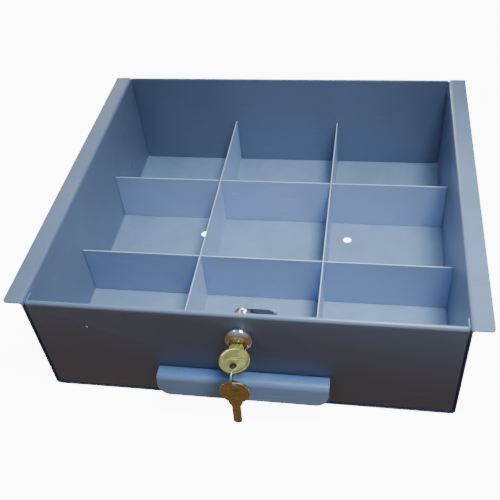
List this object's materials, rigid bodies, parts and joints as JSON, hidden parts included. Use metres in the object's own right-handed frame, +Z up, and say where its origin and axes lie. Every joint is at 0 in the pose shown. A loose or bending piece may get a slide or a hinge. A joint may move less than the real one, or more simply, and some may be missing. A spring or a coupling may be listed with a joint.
{
  "type": "cash drawer",
  "caption": "Open-topped sheet-steel drawer with outward runner flanges, a lift-out divider grid, a formed front pull and a cam lock with keys.",
  "frame": {"origin": "middle of the body's flat underside, where the drawer rests", "axes": "+X to the right seen from the front, +Y from the front to the rear, +Z up"},
  "size_m": [0.388, 0.3877, 0.112],
  "materials": {
    "blue_grey_paint": "satin powder coat, blue-grey",
    "chrome": "bright chrome plate",
    "zinc_plate": "bright zinc plate",
    "brass": "plain brass",
    "nickel_brass": "worn nickel over brass",
    "old_brass": "tarnished brass",
    "spring_steel": "bright drawn wire"
  },
  "bodies": {
    "drawer": {"tray_wrap": "blue_grey_paint", "front_panel": "blue_grey_paint", "back_panel": "blue_grey_paint", "pull_handle": "blue_grey_paint", "pull_rivet_left": "zinc_plate", "pull_rivet_middle": "zinc_plate", "pull_rivet_right": "zinc_plate", "lock_barrel": "chrome", "lock_nut": "zinc_plate", "lock_washer": "zinc_plate"},
    "row_dividers": {"row_divider_front": "blue_grey_paint", "row_divider_rear": "blue_grey_paint"},
    "left_column": {"column_divider_left": "blue_grey_paint"},
    "right_column": {"column_divider_right": "blue_grey_paint"},
    "lock_core": {"lock_plug": "brass", "wafer_1": "brass", "wafer_2": "brass", "wafer_3": "brass", "wafer_4": "brass", "wafer_5": "brass", "wafer_spring_1": "spring_steel", "wafer_spring_2": "spring_steel", "wafer_spring_3": "spring_steel", "wafer_spring_4": "spring_steel", "wafer_spring_5": "spring_steel", "stop_washer": "zinc_plate", "lock_cam": "zinc_plate", "cam_washer": "spring_steel", "cam_screw": "zinc_plate"},
    "inserted_key": {"key_in_lock": "nickel_brass"},
    "split_ring": {"key_ring": "spring_steel"},
    "hanging_key": {"spare_key": "old_brass"}
  },
  "joints": [
    {"name": "grid_lift", "type": "slide", "parent": "drawer", "child": "row_dividers", "axis": [0, 0, 1], "range_m": [0, 0.12]},
    {"name": "left_column_lift", "type": "slide", "parent": "row_dividers", "child": "left_column", "axis": [0, 0, 1], "range_m": [0, 0.12]},
    {"name": "right_column_lift", "type": "slide", "parent": "row_dividers", "child": "right_column", "axis": [0, 0, 1], "range_m": [0, 0.12]},
    {"name": "lock_turn", "type": "hinge", "parent": "drawer", "child": "lock_core", "pos_m": [0.0005, -0.1712, 0.0864], "axis": [0, -1, 0], "range_deg": [0, 90]},
    {"name": "key_pull_out", "type": "slide", "parent": "lock_core", "child": "inserted_key", "axis": [0, -1, 0], "range_m": [0, 0.03]},
    {"name": "ring_swing", "type": "hinge", "parent": "inserted_key", "child": "split_ring", "pos_m": [0.0005, -0.2053, 0.0864], "axis": [0, -1, 0], "range_deg": [-25, 25]},
    {"name": "spare_key_swing", "type": "hinge", "parent": "split_ring", "child": "hanging_key", "pos_m": [0.0005, -0.2069, 0.0699], "axis": [0, -0.9945, 0.1048], "range_deg": [-45, 45]}
  ]
}
